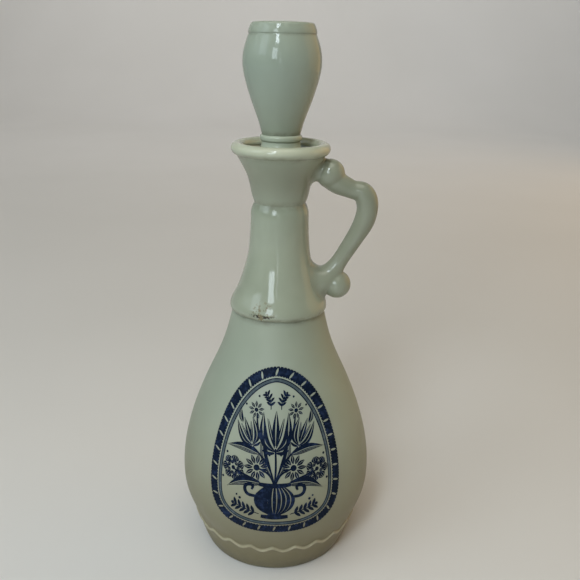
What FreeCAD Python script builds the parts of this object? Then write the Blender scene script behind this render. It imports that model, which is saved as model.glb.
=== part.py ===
import FreeCAD, Part
import math
import os

# A stoppered liquor decanter of pale opal glass: a pear-shaped body on a scalloped foot, a flared
# neck with a pouring cup, a scroll handle, and an urn-shaped stopper on a corked plug.
# Lengths are in millimetres and angles in degrees. The origin is the centre of the foot on the
# standing plane, +Z is up and the handle points to +X.

# Pear-shaped body
foot_radius = 44.8
foot_rounding = 1.6
foot_flare_angle = 23.0
standing_ring_width = 7.0
push_up_depth = 4.0
floor_thickness = 6.0
belly_radius = 59.1
belly_height = 54.0
shoulder_radius = 27.2
body_height = 157.3
body_wall = 4.4
lower_height_shares = (0.20, 0.44, 0.70)
lower_radius_shares = (0.252, 0.545, 0.902)
upper_height_shares = (0.28, 0.58, 0.80)
upper_radius_shares = (0.845, 0.48, 0.17)
floor_radius_share = 0.55
floor_drop_share = 0.45

# Scalloped collar round the foot
scallop_count = 24
scallop_level = 22.4
scallop_depth = 2.8
scallop_relief = 1.3
crest_share = 0.14
collar_swell_share = 0.45

# Skirt and neck
lip_overhang = 1.7
lip_rounding = 1.6
neck_height = 63.7
neck_radius = 16.8
neck_wall = 4.0
waist_radius = 14.8
skirt_height_shares = (0.17, 0.317, 0.494, 0.70, 0.85)
skirt_radius_shares = (0.70, 0.411, 0.15, 0.035, 0.0)
neck_shoulder_height_share = 0.945
neck_shoulder_radius_share = 0.72

# Pouring cup and rolled rim
cup_height = 30.7
cup_wall = 3.6
rim_radius = 25.0
rim_roll = 3.0
rim_outer_angle = -80.0
rim_inner_angle = 190.0
cup_height_shares = (0.08, 0.235, 0.48, 0.69)
cup_radius_shares = (0.09, 0.205, 0.39, 0.685)

# Tapered bore for the cork
bore_radius = 11.9
bore_length = 21.0
bore_mouth_rise = 6.0
bore_taper_angle = 1.4

# Scroll handle: its centre line and thickness, as shares of its reach, height and radius
handle_reach = 50.3
handle_radius = 6.1
handle_top_drop = 13.4
handle_foot_rise = 16.1
top_ball_radius = 7.7
top_ball_reach = 28.9
scroll_ball_radius = 7.7
scroll_ball_reach = 35.2
scroll_ball_drop = 2.1
scroll_shares = ((0.28, 1.005, 1.23), (0.40, 1.0, 1.21), (0.50, 0.98, 1.18), (0.596, 0.937, 1.10),
                 (0.686, 0.897, 1.0), (0.767, 0.871, 0.90), (0.835, 0.851, 0.85), (0.918, 0.837, 0.95),
                 (0.984, 0.77, 1.03), (1.0, 0.685, 1.0), (0.972, 0.573, 0.97), (0.899, 0.454, 0.86),
                 (0.787, 0.303, 0.78), (0.688, 0.173, 0.80), (0.616, 0.086, 1.08), (0.537, 0.031, 1.42),
                 (0.437, 0.006, 1.58), (0.338, 0.0, 1.64))

# Stopper plug and cork
plug_stand = 0.7
plug_radius = 10.9
plug_clearance = 0.5
bell_radius = 13.3
bell_height = 5.6
bell_edge = 1.3
core_radius = 7.0
cork_set_down = 0.6
cork_length = 20.0
cork_clearance = 0.2
cork_core_clearance = 0.15
cork_end_play = 0.3
barb_radius = 8.6
barb_height = 3.0
barb_tip_share = 0.75
spigot_radius = 7.0
spigot_length = 12.0
spigot_clearance = 0.15

# Collar ring under the stopper head
collar_radius = 11.85
collar_height = 3.7
collar_rounding = 1.5

# Urn-shaped stopper head
head_height = 58.9
head_base_radius = 10.8
head_radius = 21.5
head_widest_height = 37.4
head_wall = 3.4
band_height = 6.6
band_radius = 18.5
band_groove = 0.6
crown_radius = 16.9
crown_rounding = 1.6
crown_rise = 0.7
urn_height_shares = (0.174, 0.425, 0.70)
urn_radius_shares = (0.165, 0.486, 0.80)
urn_top_height_share = 0.5
urn_top_radius_share = 0.74

# Heights that follow from the sizes above
waist_level = body_height + neck_height
rim_level = waist_level + cup_height
plug_top_level = rim_level + rim_roll + plug_stand
head_base_level = plug_top_level + collar_height
bore_top_level = waist_level + bore_mouth_rise
bore_bottom_level = bore_top_level - bore_length
cork_top_level = bore_top_level - cork_set_down
cork_bottom_level = cork_top_level - cork_length
lip_radius = shoulder_radius + lip_overhang
axis_base = FreeCAD.Vector(0, 0, 0)
axis_up = FreeCAD.Vector(0, 0, 1)


def at(radius, level):
    return FreeCAD.Vector(radius, 0, level)


def smooth(points, start=None, end=None):
    """A curve through the points, which leaves or arrives in a direction where one is given."""
    between = len(points) - 2
    directions = [start or axis_up] + [axis_up] * between + [end or axis_up]
    held = [start is not None] + [False] * between + [end is not None]
    curve = Part.BSplineCurve()
    curve.interpolate(Points=points, Tangents=directions, TangentFlags=held)
    return curve


def line(first, last):
    return Part.LineSegment(first, last).toShape()


def rounding(first, corner, last):
    """A soft corner that leaves both of its sides in line with them."""
    curve = Part.BezierCurve()
    curve.setPoles([first, corner, last])
    return curve.toShape()


def turned(edges):
    """The solid that a closed outline makes when it is turned round the axis."""
    return Part.Face(Part.Wire(edges)).revolve(axis_base, axis_up, 360)


def blend(low, high, share):
    return low + (high - low) * share


def inside(curve, point, wall):
    """The point one wall behind an outline that runs upwards."""
    along = curve.tangent(curve.parameter(point))[0]
    return point + FreeCAD.Vector(-along.z, 0, along.x) * wall


def pear_outline():
    """The body's outer curve from the foot's edge to the shoulder, and its points."""
    flare = math.radians(foot_flare_angle)
    leaving = FreeCAD.Vector(math.sin(flare), 0, math.cos(flare))
    points = [at(foot_radius, 0) + leaving * foot_rounding]
    for height_share, radius_share in zip(lower_height_shares, lower_radius_shares):
        radius = blend(foot_radius, belly_radius, radius_share)
        points.append(at(radius, belly_height * height_share))
    points.append(at(belly_radius, belly_height))
    for height_share, radius_share in zip(upper_height_shares, upper_radius_shares):
        radius = blend(shoulder_radius, belly_radius, radius_share)
        points.append(at(radius, blend(belly_height, body_height, height_share)))
    points.append(at(shoulder_radius, body_height))
    return smooth(points, leaving), points


def on_outline(curve, level):
    """The point of an outline at one level."""
    crossing = Part.LineSegment(at(0, level), at(belly_radius + belly_radius, level))
    meeting = curve.intersect(crossing)[0]
    return at(meeting.X, meeting.Z)


def scallop_cuts(pear, points, crest_radius):
    """The arches that leave a scalloped edge, cut back to the body's own surface."""
    core = turned([pear.toShape(), line(points[-1], at(0, body_height)),
                   line(at(0, body_height), at(0, points[0].z)), line(at(0, points[0].z), points[0])])
    spacing = math.tau * crest_radius / scallop_count
    half_arch = spacing * (1 - crest_share) / 2
    arch_radius = (half_arch ** 2 + scallop_depth ** 2) / (scallop_depth + scallop_depth)
    arch_level = scallop_level - scallop_depth + arch_radius
    arches = []
    for step in range(scallop_count):
        turn = math.tau * (step + 1 / 2) / scallop_count
        outward = FreeCAD.Vector(math.cos(turn), math.sin(turn), 0)
        start = outward * foot_radius + at(0, arch_level)
        arch = Part.makeCylinder(arch_radius, belly_radius - foot_radius + body_wall, start, outward)
        arches.append(arch.cut(core))
    return arches


def make_bottle_body():
    pear, points = pear_outline()
    crest = on_outline(pear, scallop_level)
    swell = on_outline(pear, scallop_level * collar_swell_share)
    collar_points = [points[0], inside(pear, swell, -scallop_relief), inside(pear, crest, -scallop_relief)]
    leaving = pear.tangent(pear.FirstParameter)[0]
    arriving = pear.tangent(pear.parameter(crest))[0]
    collar = smooth(collar_points, leaving, arriving)
    ring_outer = at(foot_radius - foot_rounding, 0)
    ring_inner = at(foot_radius - foot_rounding - standing_ring_width, 0)
    top_inner = at(shoulder_radius - body_wall, body_height)
    floor_level = push_up_depth + floor_thickness
    cavity = [at(0, floor_level)]
    cavity.append(at(foot_radius * floor_radius_share, floor_level - push_up_depth * floor_drop_share))
    cavity += [inside(pear, point, body_wall) for point in points[2:-1]]
    cavity.append(top_inner)
    outward = FreeCAD.Vector(1, 0, 0)
    push_up = Part.BezierCurve()
    push_up.setPoles([at(0, push_up_depth), at(ring_inner.x * floor_radius_share, push_up_depth), ring_inner])
    shell = turned([push_up.toShape(), line(ring_inner, ring_outer),
                    rounding(ring_outer, at(foot_radius, 0), points[0]), collar.toShape(),
                    line(collar_points[-1], crest), pear.toShape(pear.parameter(crest), pear.LastParameter),
                    line(points[-1], top_inner), smooth(cavity, outward).toShape(),
                    line(cavity[0], at(0, push_up_depth))])
    return shell.cut(scallop_cuts(pear, points, collar_points[-1].x))


def skirt_outline():
    """The neck's outer curve from above the lip to the waist, and its points."""
    points = [at(lip_radius, body_height + lip_rounding)]
    for height_share, radius_share in zip(skirt_height_shares, skirt_radius_shares):
        radius = blend(neck_radius, lip_radius, radius_share)
        points.append(at(radius, body_height + neck_height * height_share))
    shoulder = blend(waist_radius, neck_radius, neck_shoulder_radius_share)
    points.append(at(shoulder, body_height + neck_height * neck_shoulder_height_share))
    points.append(at(waist_radius, waist_level))
    into_waist = points[-1] - points[-2]
    return smooth(points, axis_up, into_waist), points


def rim_point(angle):
    turn = math.radians(angle)
    return at(rim_radius + rim_roll * math.cos(turn), rim_level + rim_roll * math.sin(turn))


def cup_outline():
    """The cup's outer curve from the waist to the rolled rim, and its points."""
    points = [at(waist_radius, waist_level)]
    for height_share, radius_share in zip(cup_height_shares, cup_radius_shares):
        radius = blend(waist_radius, rim_radius, radius_share)
        points.append(at(radius, waist_level + cup_height * height_share))
    points.append(rim_point(rim_outer_angle))
    return smooth(points), points


def rim_edge():
    middle = (rim_outer_angle + rim_inner_angle) / 2
    return Part.Arc(rim_point(rim_outer_angle), rim_point(middle), rim_point(rim_inner_angle)).toShape()


def lip_edges(inner_radius):
    """The flat under the neck and the rounded lip that overhangs the body."""
    start = at(lip_radius - lip_rounding, body_height)
    corner = at(lip_radius, body_height)
    return [line(at(inner_radius, body_height), start),
            rounding(start, corner, at(lip_radius, body_height + lip_rounding))]


def bore_wall_radius(level):
    return bore_radius - (bore_top_level - level) * math.tan(math.radians(bore_taper_angle))


def make_bottle_neck():
    skirt, skirt_points = skirt_outline()
    cup, cup_points = cup_outline()
    inner_radius = shoulder_radius - body_wall
    bore_top = at(bore_radius, bore_top_level)
    bore_bottom = at(bore_wall_radius(bore_bottom_level), bore_bottom_level)
    funnel = [rim_point(rim_inner_angle)]
    funnel += [inside(cup, point, cup_wall) for point in reversed(cup_points[3:-1])]
    funnel.append(bore_top)
    passage = [bore_bottom]
    passage += [inside(skirt, point, neck_wall) for point in reversed(skirt_points[2:5])]
    passage.append(at(inner_radius, body_height))
    return turned(lip_edges(inner_radius) + [skirt.toShape(), cup.toShape(), rim_edge(),
                  smooth(funnel).toShape(), line(bore_top, bore_bottom), smooth(passage).toShape()])


def make_neck_core():
    """The neck's outer form with no bore, which trims the handle to its seats."""
    skirt, skirt_points = skirt_outline()
    cup, cup_points = cup_outline()
    top = at(0, rim_level)
    return turned(lip_edges(0) + [skirt.toShape(), cup.toShape(), rim_edge(),
                  line(rim_point(rim_inner_angle), top), line(top, at(0, body_height))])


def make_handle():
    top_level = rim_level - handle_top_drop
    foot_level = body_height + handle_foot_rise
    path = []
    for reach, height, girth in scroll_shares:
        path.append(at(handle_reach * reach, blend(foot_level, top_level, height)))
    sections = []
    for place, (reach, height, girth) in enumerate(scroll_shares):
        before = path[max(place - 1, 0)]
        after = path[min(place + 1, len(path) - 1)]
        ring = Part.Circle(path[place], after - before, handle_radius * girth)
        sections.append(Part.Wire(ring.toShape()))
    scroll = Part.makeLoft(sections, True)
    top_ball = Part.makeSphere(top_ball_radius, at(top_ball_reach, top_level))
    scroll_ball = Part.makeSphere(scroll_ball_radius, at(scroll_ball_reach, foot_level - scroll_ball_drop))
    return scroll.fuse([top_ball, scroll_ball]).cut(make_neck_core())


def make_cork_sleeve():
    bore = core_radius + cork_core_clearance
    low = at(bore_wall_radius(cork_bottom_level) - cork_clearance, cork_bottom_level)
    high = at(bore_wall_radius(cork_top_level) - cork_clearance, cork_top_level)
    low_inner = at(bore, cork_bottom_level)
    high_inner = at(bore, cork_top_level)
    return turned([line(low_inner, low), line(low, high), line(high, high_inner),
                   line(high_inner, low_inner)])


def make_stopper_plug():
    """The bell-shaped top with its spigot, the shank, and the core with the barb that keeps the cork on."""
    shank_radius = bore_radius - plug_clearance
    shoulder_level = cork_top_level + cork_end_play
    barb_level = cork_bottom_level - cork_end_play
    tip_level = barb_level - barb_height
    bell_level = plug_top_level - bell_height
    spigot_level = head_base_level + spigot_length
    bell_rim = at(bell_radius, bell_level)
    bell_top = at(plug_radius, plug_top_level)
    corners = [bell_top, at(spigot_radius, plug_top_level), at(spigot_radius, spigot_level),
               at(0, spigot_level), at(0, tip_level), at(barb_radius * barb_tip_share, tip_level),
               at(barb_radius, barb_level), at(core_radius, barb_level), at(core_radius, shoulder_level),
               at(shank_radius, shoulder_level), at(shank_radius, bell_level - bell_edge), bell_rim]
    edges = [line(corner, following) for corner, following in zip(corners, corners[1:])]
    return turned(edges + [rounding(bell_rim, at(plug_radius, bell_level + bell_edge), bell_top)])


def make_stopper_collar():
    ring = Part.makeCylinder(collar_radius, collar_height, at(0, plug_top_level))
    hole = Part.makeCylinder(spigot_radius + spigot_clearance, collar_height, at(0, plug_top_level))
    rims = [edge for edge in ring.Edges if isinstance(edge.Curve, Part.Circle)]
    return ring.makeFillet(collar_rounding, rims).cut(hole)


def make_stopper_head():
    groove_level = head_base_level + head_height - band_height
    top_level = head_base_level + head_height - crown_rise
    widest_level = head_base_level + head_widest_height
    points = [at(head_base_radius, head_base_level)]
    for height_share, radius_share in zip(urn_height_shares, urn_radius_shares):
        radius = blend(head_base_radius, head_radius, radius_share)
        points.append(at(radius, head_base_level + head_widest_height * height_share))
    points.append(at(head_radius, widest_level))
    points.append(at(blend(band_radius, head_radius, urn_top_radius_share),
                     blend(widest_level, groove_level, urn_top_height_share)))
    points.append(at(band_radius, groove_level - band_groove))
    urn = smooth(points)
    groove = at(band_radius - band_groove, groove_level)
    band_base = at(band_radius, groove_level + band_groove)
    rise = top_level - band_base.z
    lean = (crown_radius - band_radius) / rise
    band_top = at(crown_radius - lean * crown_rounding, top_level - crown_rounding)
    crown_edge = at(crown_radius - crown_rounding, top_level)
    crown = Part.BezierCurve()
    crown.setPoles([crown_edge, at(crown_edge.x / 2, top_level + crown_rise), at(0, top_level + crown_rise)])
    socket = spigot_radius + spigot_clearance
    socket_level = head_base_level + spigot_length + spigot_clearance
    hollow = [at(socket, socket_level)]
    hollow += [inside(urn, point, head_wall) for point in points[3:-1]]
    hollow.append(at(band_radius - head_wall - head_wall, top_level - head_wall))
    ceiling = at(0, top_level - head_wall)
    return turned([urn.toShape(), line(points[-1], groove), line(groove, band_base),
                   line(band_base, band_top), rounding(band_top, at(crown_radius, top_level), crown_edge),
                   crown.toShape(),
                   line(at(0, top_level + crown_rise), ceiling), line(ceiling, hollow[-1]),
                   smooth(hollow).toShape(), line(hollow[0], at(socket, head_base_level)),
                   line(at(socket, head_base_level), points[0])])


nodes = {
    "bottle_body": make_bottle_body(),
    "bottle_neck": make_bottle_neck(),
    "handle": make_handle(),
    "stopper_head": make_stopper_head(),
    "stopper_collar": make_stopper_collar(),
    "stopper_plug": make_stopper_plug(),
    "cork_sleeve": make_cork_sleeve(),
}
os.makedirs("parts", exist_ok=True)
for name, shape in nodes.items():
    shape.exportStep("parts/" + name + ".step")
    print(name, shape.ShapeType, shape.isValid(), len(shape.Solids), round(shape.Volume / 1000, 1), "cm3")
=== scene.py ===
import math
import bpy
import bmesh
import numpy as np
from mathutils import Matrix, Vector


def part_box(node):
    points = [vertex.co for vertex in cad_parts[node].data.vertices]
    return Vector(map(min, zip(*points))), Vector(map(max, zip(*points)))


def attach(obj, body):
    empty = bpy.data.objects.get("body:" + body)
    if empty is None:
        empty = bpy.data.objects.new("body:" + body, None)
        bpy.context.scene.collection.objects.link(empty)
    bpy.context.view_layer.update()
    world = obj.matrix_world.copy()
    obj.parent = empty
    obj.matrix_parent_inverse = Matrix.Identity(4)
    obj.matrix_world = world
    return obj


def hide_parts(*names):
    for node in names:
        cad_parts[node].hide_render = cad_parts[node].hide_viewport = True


# Looks for the opal glass decanter. Outlines are (radius, height) in millimetres, and a height is
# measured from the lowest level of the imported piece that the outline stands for.
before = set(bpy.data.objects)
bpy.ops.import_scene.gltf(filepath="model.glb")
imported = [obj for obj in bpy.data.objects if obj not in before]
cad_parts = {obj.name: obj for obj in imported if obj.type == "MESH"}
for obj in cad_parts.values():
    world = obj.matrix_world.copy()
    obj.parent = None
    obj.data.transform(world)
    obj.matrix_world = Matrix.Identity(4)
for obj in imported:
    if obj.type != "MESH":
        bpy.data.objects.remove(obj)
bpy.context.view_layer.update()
mm = 0.001
weld = 1e-7  # corners nearer than this are one
seam = 1e-6  # the same for an outline and its closing edge


def levelsOf(node):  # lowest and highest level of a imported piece
    low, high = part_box(node)
    return low[2] / mm, high[2] / mm


class Wire:  # an output socket that takes part in sums
    def __init__(self, graph, socket):
        self.graph = graph
        self.socket = socket

    def other(self, name):
        return Wire(self.graph, self.socket.node.outputs[name])

    def math(self, operation, first, second=0.0):
        return self.graph.add("ShaderNodeMath", {"operation": operation}, {0: first, 1: second})

    def __abs__(self):
        return self.math("ABSOLUTE", self)

    def __add__(self, value):
        return self.math("ADD", self, value)

    def __sub__(self, value):
        return self.math("SUBTRACT", self, value)

    def __rsub__(self, value):
        return self.math("SUBTRACT", value, self)

    def __mul__(self, value):
        return self.math("MULTIPLY", self, value)

    def __truediv__(self, value):
        return self.math("DIVIDE", self, value)

    def __rtruediv__(self, value):
        return self.math("DIVIDE", value, self)

    def __mod__(self, value):
        return self.math("MODULO", self, value)

    def __pow__(self, value):
        return self.math("POWER", self, value)

    __radd__ = __add__
    __rmul__ = __mul__


class Graph:  # a shader tree or a geometry tree
    def __init__(self, tree):
        self.tree = tree

    def feed(self, socket, value):
        if isinstance(value, list):
            for wire in value:
                self.feed(socket, wire)
        elif isinstance(value, Wire):
            self.tree.links.new(value.socket, socket)
        else:
            socket.default_value = value

    def add(self, kind, settings=None, sockets=None, out=0):
        node = self.tree.nodes.new(kind)
        for name, value in (settings or {}).items():
            setattr(node, name, value)
        for key, value in (sockets or {}).items():
            self.feed(node.inputs[key], value)
        return Wire(self, node.outputs[out])

    def mix(self, share, first, second):  # colours
        return self.add("ShaderNodeMix", {"data_type": "RGBA"}, {0: share, 6: first, 7: second}, 2)

    def noise(self, place, scale, detail=2.0, rough=0.5):
        values = {"Vector": place, "Scale": scale, "Detail": detail, "Roughness": rough}
        return self.add("ShaderNodeTexNoise", {}, values)

    def level(self, place):  # millimetres up
        return self.add("ShaderNodeSeparateXYZ", {}, {0: place}, 2) / mm

    def ease(self, value, low, high, start=0.0, end=1.0):
        return self.add("ShaderNodeMapRange", {"interpolation_type": "SMOOTHSTEP"},
                        {0: value, 1: low, 2: high, 3: start, 4: end})

    def dress(self, shader, tint, rough, height, relief):
        values = {"Strength": relief[0], "Distance": relief[1], "Height": height}
        self.feed(shader["Base Color"], tint)
        self.feed(shader["Roughness"], rough)
        self.feed(shader["Normal"], self.add("ShaderNodeBump", {}, values))


def colour(*screen):  # screen values 0 to 255 to scene-linear
    shares = [value / 255 for value in screen]
    return tuple(s / 12.92 if s < 0.0405 else ((s + 0.055) / 1.055) ** 2.4 for s in shares) + (1,)


def newMaterial(name, **values):
    material = bpy.data.materials.new(name)
    material.use_nodes = True
    shader = material.node_tree.nodes["Principled BSDF"]
    for key, value in values.items():
        shader.inputs[key.replace("_", " ")].default_value = value
    graph = Graph(material.node_tree)
    return material, graph, shader.inputs, graph.add("ShaderNodeTexCoord", out="Object")


# Finishes. A noise is (scale, detail, roughness), a range (low, high), a relief (strength, depth in metres),
# a crease (level, reach, share) of painted shade in millimetres, and a tone the same with its colour. Besides
# its own tints, the opal glass holds painted shade, painted light on the rim and a painted bead highlight.
opalLook = {
    "pale": colour(166, 172, 152), "deep": colour(154, 161, 141), "paintedFootShade": colour(124, 115, 85),
    "paintedShade": colour(98, 91, 68), "paintedRidgeHighlight": colour(196, 188, 160), "lip": colour(206, 208, 182),
    "cool": colour(132, 152, 147), "gold": colour(116, 98, 60), "char": colour(46, 38, 28),
    "cloudy": (0.32, 0.68), "paintedFootShadeUpTo": 120.0, "ior": 1.5, "shine": 0.5,
    "glow": 0.12, "glowDepth": 0.004, "glowReach": (1.0, 1.0, 0.9)}
glossLook = {
    "cloud": (22.0, 3.0), "dust": (160.0, 4.0, 0.6), "shadePatches": (0.25, 0.75), "dusty": (0.45, 0.85),
    "roughness": 0.075, "dustRoughness": 0.08, "ripple": (75.0, 1.0), "grain": (900.0, 2.0),
    "grainShare": 0.03, "relief": (0.18, 0.0012)}
satinLook = {
    "cloud": (16.0, 3.0), "dust": (130.0, 4.0, 0.6), "shadePatches": (0.2, 0.8), "paintedRidgeHighlight": (0.2, 0.7, 0.35, 0.75),
    "roughness": 0.50, "handling": (48.0, 3.0, 0.6), "handled": (0.45, 0.8), "polish": 0.12,
    "frost": (2600.0, 2.0, 0.6), "relief": (0.10, 0.0001)}


def levelBands(height, levels):  # fades out below and above each level
    share = 0.0
    for level, reach, most in levels:
        share = share + height.graph.ease(abs(height - level), 0.0, reach, most, 0.0)
    return share


def newOpal(name, look, shadedCreases, tones, shine):  # cloudy glass, with painted shade that grows darker and warmer towards the foot
    glass = opalLook
    material, graph, shader, place = newMaterial(
        name, IOR=glass["ior"], Specular_IOR_Level=shine, Subsurface_Weight=glass["glow"],
        Subsurface_Scale=glass["glowDepth"], Subsurface_Radius=glass["glowReach"])
    height = graph.level(place)
    clouds = graph.ease(graph.noise(place, *look["cloud"]), *glass["cloudy"])
    # painted shade, darker and warmer towards the foot
    low = graph.ease(height, 0.0, glass["paintedFootShadeUpTo"], 1.0, 0.0)
    tint = graph.mix(low, graph.mix(clouds, glass["pale"], glass["deep"]), glass["paintedFootShade"])
    # tones are bands of height: painted shade, painted light on the rim and cool tints
    for level, reach, share, shade in tones:
        tint = graph.mix(levelBands(height, ((level, reach, share),)), tint, glass[shade])
    # the dust noise roughens the glass and breaks the painted shade and the painted highlight into patches
    dust = graph.noise(place, *look["dust"])
    if shadedCreases:  # painted shade in creases and recesses, broken into patches by the dust noise
        tint = graph.mix(levelBands(height, shadedCreases) * graph.ease(dust, *look["shadePatches"]), tint, glass["paintedShade"])
    return material, graph, shader, place, dust, tint


def glossOpal(name, shadedCreases=(), tones=(), wear=None, shine=opalLook["shine"]):
    look = glossLook
    material, graph, shader, place, dust, tint = newOpal(name, look, shadedCreases, tones, shine)
    rough = look["roughness"] + graph.ease(dust, *look["dusty"]) * look["dustRoughness"]
    if wear:  # flakes of old gilding near the lip, and a dark nick along it
        centre = tuple(value * mm for value in wear["centre"])
        away = graph.add("ShaderNodeVectorMath", {"operation": "DISTANCE"}, {0: place, 1: centre}, "Value")
        near = graph.ease(away / mm, wear["reach"] * wear["core"], wear["reach"], 1.0, 0.0)
        gilt = graph.ease(graph.noise(place, *wear["gilt"]), *wear["giltRange"]) * near
        line = graph.ease(abs(graph.level(place) - wear["nickLevel"]), *wear["nickWidth"], 1.0, 0.0)
        nick = graph.ease(graph.noise(place, *wear["nick"]), *wear["nickRange"]) * near * line
        tint = graph.mix(gilt * wear["giltShare"], tint, opalLook["gold"])
        tint = graph.mix(nick, tint, opalLook["char"])
        rough = rough + (gilt + nick) * wear["dull"]
    ripple = graph.noise(place, *look["ripple"]) + graph.noise(place, *look["grain"]) * look["grainShare"]
    graph.dress(shader, tint, rough, ripple, look["relief"])
    return material


def satinOpal(name, shadedCreases, tones):
    look = satinLook
    material, graph, shader, place, dust, tint = newOpal(name, look, shadedCreases, tones, opalLook["shine"])
    ridge = graph.add("ShaderNodeAttribute", {"attribute_name": "ridge"}, out="Fac")  # paler along the bead's ridge: a painted highlight
    tint = graph.mix(ridge * graph.ease(dust, *look["paintedRidgeHighlight"]), tint, opalLook["paintedRidgeHighlight"])
    polish = graph.ease(graph.noise(place, *look["handling"]), *look["handled"])
    rough = look["roughness"] - polish * look["polish"]
    graph.dress(shader, tint, rough, graph.noise(place, *look["frost"]), look["relief"])
    return material


inkLook = {
    "patch": (420.0, 4.0, 0.6), "thin": (90.0, 2.0), "patchShare": 0.7, "fade": (0.46, 0.70),
    "roughness": 0.40, "fadedRoughness": 0.2, "ior": 1.5, "shine": 0.05}


def printedInk(name, dark, light, share):
    look = inkLook
    material, graph, shader, place = newMaterial(name, IOR=look["ior"], Specular_IOR_Level=look["shine"])
    patch = graph.noise(place, *look["patch"]) * look["patchShare"]
    thin = graph.noise(place, *look["thin"]) * (1 - look["patchShare"])
    faded = graph.ease(patch + thin, *look["fade"]) * share
    graph.feed(shader["Base Color"], graph.mix(faded, dark, light))
    graph.feed(shader["Roughness"], look["roughness"] + faded * look["fadedRoughness"])
    return material


plasticLook = {
    "pale": colour(190, 197, 176), "deep": colour(178, 186, 164), "cloud": (60.0, 3.0),
    "cloudy": (0.3, 0.7), "roughness": 0.10, "dull": (0.4, 0.8), "dullRoughness": 0.08,
    "skin": (1500.0, 2.0), "relief": (0.08, 0.0001), "ior": 1.46}


def mouldedPlastic(name):
    look = plasticLook
    material, graph, shader, place = newMaterial(name, IOR=look["ior"])
    cloud = graph.noise(place, *look["cloud"])
    tint = graph.mix(graph.ease(cloud, *look["cloudy"]), look["pale"], look["deep"])
    rough = look["roughness"] + graph.ease(cloud, *look["dull"]) * look["dullRoughness"]
    graph.dress(shader, tint, rough, graph.noise(place, *look["skin"]), look["relief"])
    return material


barkLook = {
    "dark": colour(150, 108, 66), "pale": colour(192, 152, 104), "pore": colour(66, 40, 22),
    "bark": (260.0, 5.0, 0.65), "barkRange": (0.3, 0.7), "pores": (330.0, 3.0, 0.7),
    "poreRange": (0.60, 0.68), "poreStretch": (1.0, 1.0, 0.3), "cellScale": 620.0, "cellRange": (0.2, 0.8),
    "cellShare": 0.3, "roughness": 0.78, "cellRoughness": 0.15, "relief": (0.5, 0.0004)}


def naturalCork(name):
    look = barkLook
    material, graph, shader, place = newMaterial(name)
    cells = graph.add("ShaderNodeTexVoronoi", {"feature": "F1"},
                      {"Vector": place, "Scale": look["cellScale"]}, "Distance")
    tone = graph.ease(graph.noise(place, *look["bark"]), *look["barkRange"])
    stretched = graph.add("ShaderNodeMapping", {}, {"Vector": place, "Scale": look["poreStretch"]})
    pores = graph.ease(graph.noise(stretched, *look["pores"]), *look["poreRange"])
    bark = graph.mix(tone, look["dark"], look["pale"])
    rough = look["roughness"] + graph.ease(cells, *look["cellRange"]) * look["cellRoughness"]
    tint = graph.mix(pores, bark, look["pore"])
    graph.dress(shader, tint, rough, cells * look["cellShare"] - pores, look["relief"])
    return material


# Outlines
def smoothLine(points, steps, start=None, end=None):  # a cubic curve, free or aimed at its ends
    p = np.array(points, float)
    gaps = np.linalg.norm(np.diff(p, axis=0), axis=1)
    slopes = np.diff(p, axis=0) / gaps[:, None]
    size = len(p)
    left = np.eye(size)
    right = np.zeros_like(p)
    for i in range(1, size - 1):
        left[i, i - 1:i + 2] = gaps[i - 1], 2 * (gaps[i - 1] + gaps[i]), gaps[i]
        right[i] = 6 * (slopes[i] - slopes[i - 1])
    if start is not None:
        left[0, :2] = 2 * gaps[0], gaps[0]
        right[0] = 6 * (slopes[0] - np.array(start) / np.linalg.norm(start))
    if end is not None:
        left[-1, -2:] = gaps[-1], 2 * gaps[-1]
        right[-1] = 6 * (np.array(end) / np.linalg.norm(end) - slopes[-1])
    bends = np.linalg.solve(left, right)
    travel = np.concatenate(([0.0], np.cumsum(gaps)))
    at = np.linspace(0, travel[-1], steps)
    i = np.clip(np.searchsorted(travel, at, "right") - 1, 0, size - 2)
    gap = gaps[i][:, None]
    ahead = (at - travel[i])[:, None]
    behind = gap - ahead
    curve = (bends[i] * behind ** 3 + bends[i + 1] * ahead ** 3) / (6 * gap)
    curve += (p[i] / gap - bends[i] * gap / 6) * behind
    return curve + (p[i + 1] / gap - bends[i + 1] * gap / 6) * ahead


def softCorner(first, corner, last, steps):
    t = np.linspace(0, 1, steps)[:, None]
    return (1 - t) ** 2 * np.array(first) + 2 * t * (1 - t) * np.array(corner) + t ** 2 * np.array(last)


def roundArc(centre, radius, fromAngle, toAngle, steps):
    t = np.radians(np.linspace(fromAngle, toAngle, steps))
    return np.array(centre) + radius * np.stack((np.cos(t), np.sin(t)), 1)


def joinLines(*lines):  # one outline, without the points that two stretches share
    points = np.concatenate([np.atleast_2d(np.array(line, float)) for line in lines])
    keep = np.concatenate(([True], np.linalg.norm(np.diff(points, axis=0), axis=1) > seam))
    return points[keep]


def easeShare(share):  # 0 to 1 with a soft start and end
    share = np.clip(share, 0, 1)
    return share * share * (3 - 2 * share)


# Geometry trees
def newTree(name, inputs):
    tree = bpy.data.node_groups.new(name, "GeometryNodeTree")
    tree.interface.new_socket("Geometry", in_out="INPUT", socket_type="NodeSocketGeometry")
    names = {}
    for label, kind in inputs:
        socket = tree.interface.new_socket(label, in_out="INPUT", socket_type="NodeSocket" + kind)
        names[label] = socket.identifier
    tree.interface.new_socket("Geometry", in_out="OUTPUT", socket_type="NodeSocketGeometry")
    graph = Graph(tree)
    return tree, names, graph, graph.add("NodeGroupInput")


def endTree(graph, geometry, given):
    plain = graph.add("GeometryNodeRealizeInstances", {}, {"Geometry": geometry})
    dressed = graph.add("GeometryNodeSetMaterial", {},
                        {"Geometry": plain, "Material": given.other("Material")})
    out = graph.tree.nodes.new("NodeGroupOutput")
    graph.feed(out.inputs[0], dressed)


def newHolder(name, data):
    holder = bpy.data.objects.new(name, data)
    bpy.context.scene.collection.objects.link(holder)
    return holder


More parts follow.
